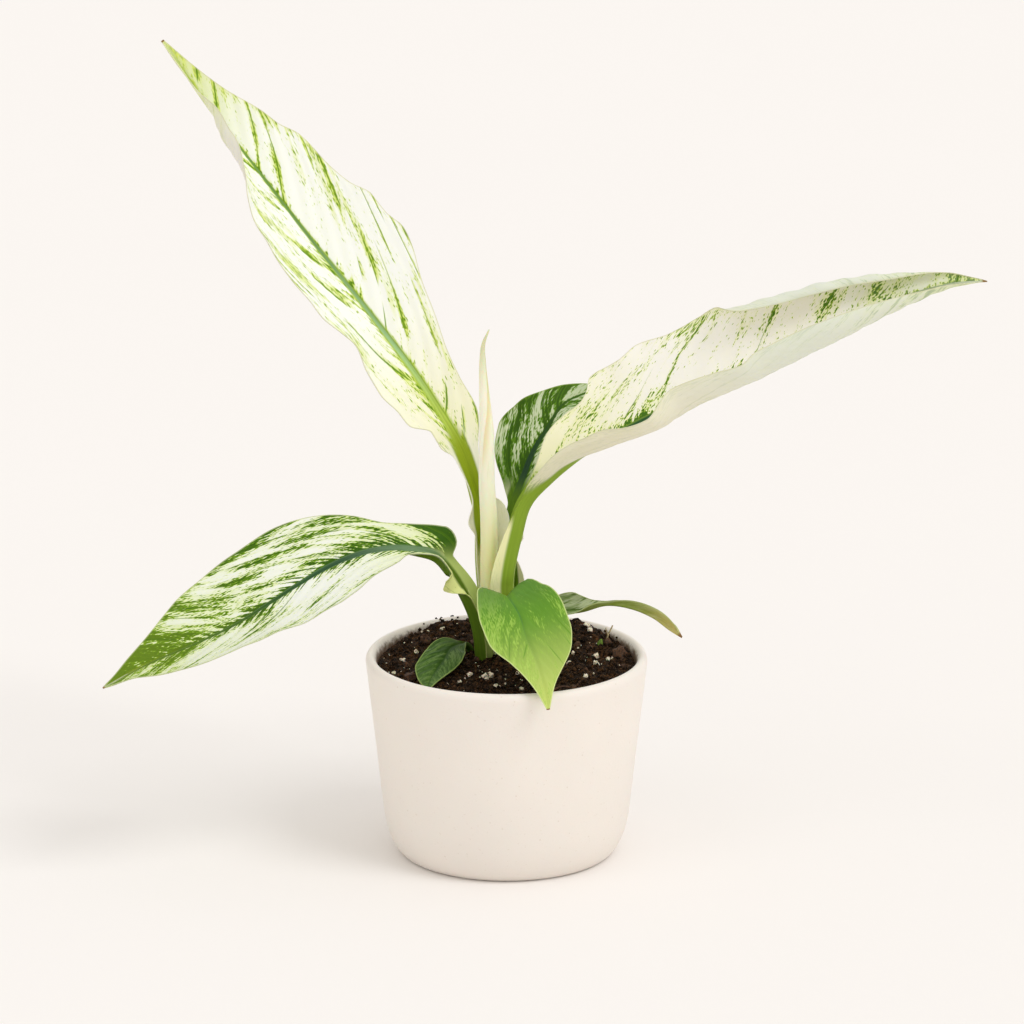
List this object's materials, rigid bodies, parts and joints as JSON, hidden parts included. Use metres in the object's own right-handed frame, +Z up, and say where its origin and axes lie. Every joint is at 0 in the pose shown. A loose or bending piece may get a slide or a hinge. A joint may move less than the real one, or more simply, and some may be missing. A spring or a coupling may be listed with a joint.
{
  "type": "potted peace lily",
  "caption": "Young variegated peace lily with arching pointed leaves in a plain round tapered stoneware pot filled with potting mix.",
  "frame": {"origin": "centre of the pot's flat foot", "axes": "+Z up; +Y away from the viewer of the plant's front; +X towards the arching right leaf"},
  "size_m": [0.4015, 0.1562, 0.3674],
  "materials": {
    "stoneware": "matt cream glaze",
    "potting_mix": "rough crumbs with pale perlite",
    "cream_leaf": "satin, cream with green streaks",
    "mixed_leaf": "satin, grey-white with green streaks",
    "green_leaf": "satin, dark green with pale flecks",
    "young_leaf": "satin, mid green with pale flecks",
    "spear_leaf": "satin, pale cream"
  },
  "bodies": {
    "root": {"pot": "stoneware", "soil": "potting_mix", "leaf_tall_left": "cream_leaf", "leaf_arching_right": "cream_leaf", "leaf_dark_back": "green_leaf", "leaf_arching_left": "mixed_leaf", "leaf_spear": "spear_leaf", "leaf_heart_front": "young_leaf", "leaf_twisted_right": "young_leaf", "leaf_small_soil": "green_leaf"}
  },
  "joints": []
}
